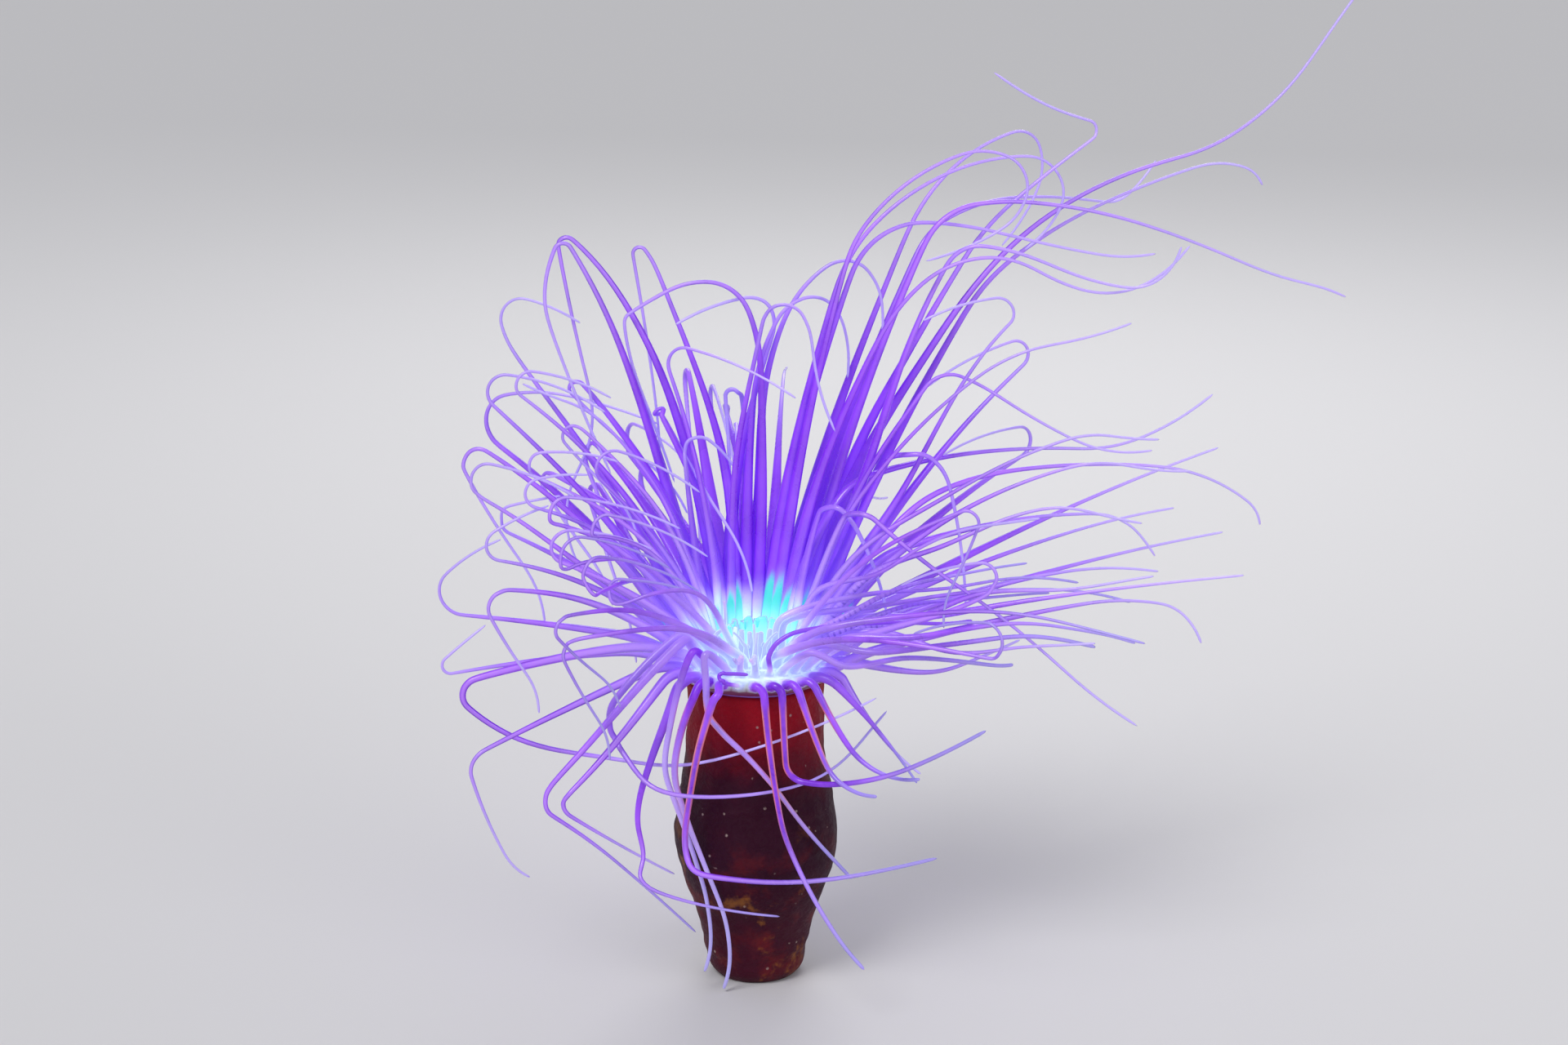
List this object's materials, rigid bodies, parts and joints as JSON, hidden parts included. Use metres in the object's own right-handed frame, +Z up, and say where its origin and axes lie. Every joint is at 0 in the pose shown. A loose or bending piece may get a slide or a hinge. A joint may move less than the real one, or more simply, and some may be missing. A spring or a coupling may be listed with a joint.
{
  "type": "tube anemone",
  "caption": "Life-size tube anemone with a wide crown of long, tapering, hooked tentacles on a soft felt-like tube that stands on its flat foot",
  "frame": {"origin": "the middle of the tube's flat underside", "axes": "+Z up along the tube, +X to the right as seen from the front, the front facing -Y"},
  "size_m": [0.2546, 0.1746, 0.2686],
  "materials": {
    "tube_felt": "soft wet felt, dark maroon, crimson at the mouth",
    "body_flesh": "smooth moist flesh",
    "disc_flesh": "pale, moist, slightly glowing flesh",
    "labial_flesh": "lilac moist flesh, pale at the roots",
    "tentacle_flesh": "translucent violet flesh, white at the roots and pale at the ends"
  },
  "bodies": {
    "root": {"body_column": "body_flesh", "labial_tentacles_back": "labial_flesh", "labial_tentacles_front": "labial_flesh", "mouth": "disc_flesh", "oral_disc": "disc_flesh", "tentacle_end_01_3": "tentacle_flesh", "tentacle_end_02_4": "tentacle_flesh", "tentacle_end_04_2": "tentacle_flesh", "tentacle_end_04_3": "tentacle_flesh", "tentacle_end_04_4": "tentacle_flesh", "tentacle_end_05_1": "tentacle_flesh", "tentacle_end_05_2": "tentacle_flesh", "tentacle_end_05_3": "tentacle_flesh", "tentacle_end_05_4": "tentacle_flesh", "tentacle_end_06_2": "tentacle_flesh", "tentacle_end_06_3": "tentacle_flesh", "tentacle_end_06_4": "tentacle_flesh", "tentacle_end_07_3": "tentacle_flesh", "tentacle_end_07_4": "tentacle_flesh", "tentacle_end_08_3": "tentacle_flesh", "tentacle_end_08_4": "tentacle_flesh", "tentacle_end_10_2": "tentacle_flesh", "tentacle_end_10_4": "tentacle_flesh", "tentacle_end_11_3": "tentacle_flesh", "tentacle_end_12_2": "tentacle_flesh", "tentacle_end_13_1": "tentacle_flesh", "tentacle_end_18_2": "tentacle_flesh", "tentacle_end_19_3": "tentacle_flesh", "tentacle_end_30_4": "tentacle_flesh", "tentacles_01": "tentacle_flesh", "tentacles_02": "tentacle_flesh", "tentacles_03": "tentacle_flesh", "tentacles_04": "tentacle_flesh", "tentacles_05": "tentacle_flesh", "tentacles_06": "tentacle_flesh", "tentacles_07": "tentacle_flesh", "tentacles_08": "tentacle_flesh", "tentacles_09": "tentacle_flesh", "tentacles_10": "tentacle_flesh", "tentacles_11": "tentacle_flesh", "tentacles_12": "tentacle_flesh", "tentacles_13": "tentacle_flesh", "tentacles_14": "tentacle_flesh", "tentacles_15": "tentacle_flesh", "tentacles_16": "tentacle_flesh", "tentacles_17": "tentacle_flesh", "tentacles_18": "tentacle_flesh", "tentacles_19": "tentacle_flesh", "tentacles_20": "tentacle_flesh", "tentacles_21": "tentacle_flesh", "tentacles_22": "tentacle_flesh", "tentacles_23": "tentacle_flesh", "tentacles_24": "tentacle_flesh", "tentacles_25": "tentacle_flesh", "tentacles_26": "tentacle_flesh", "tentacles_27": "tentacle_flesh", "tentacles_28": "tentacle_flesh", "tentacles_29": "tentacle_flesh", "tentacles_30": "tentacle_flesh", "tube": "tube_felt"}
  },
  "joints": []
}
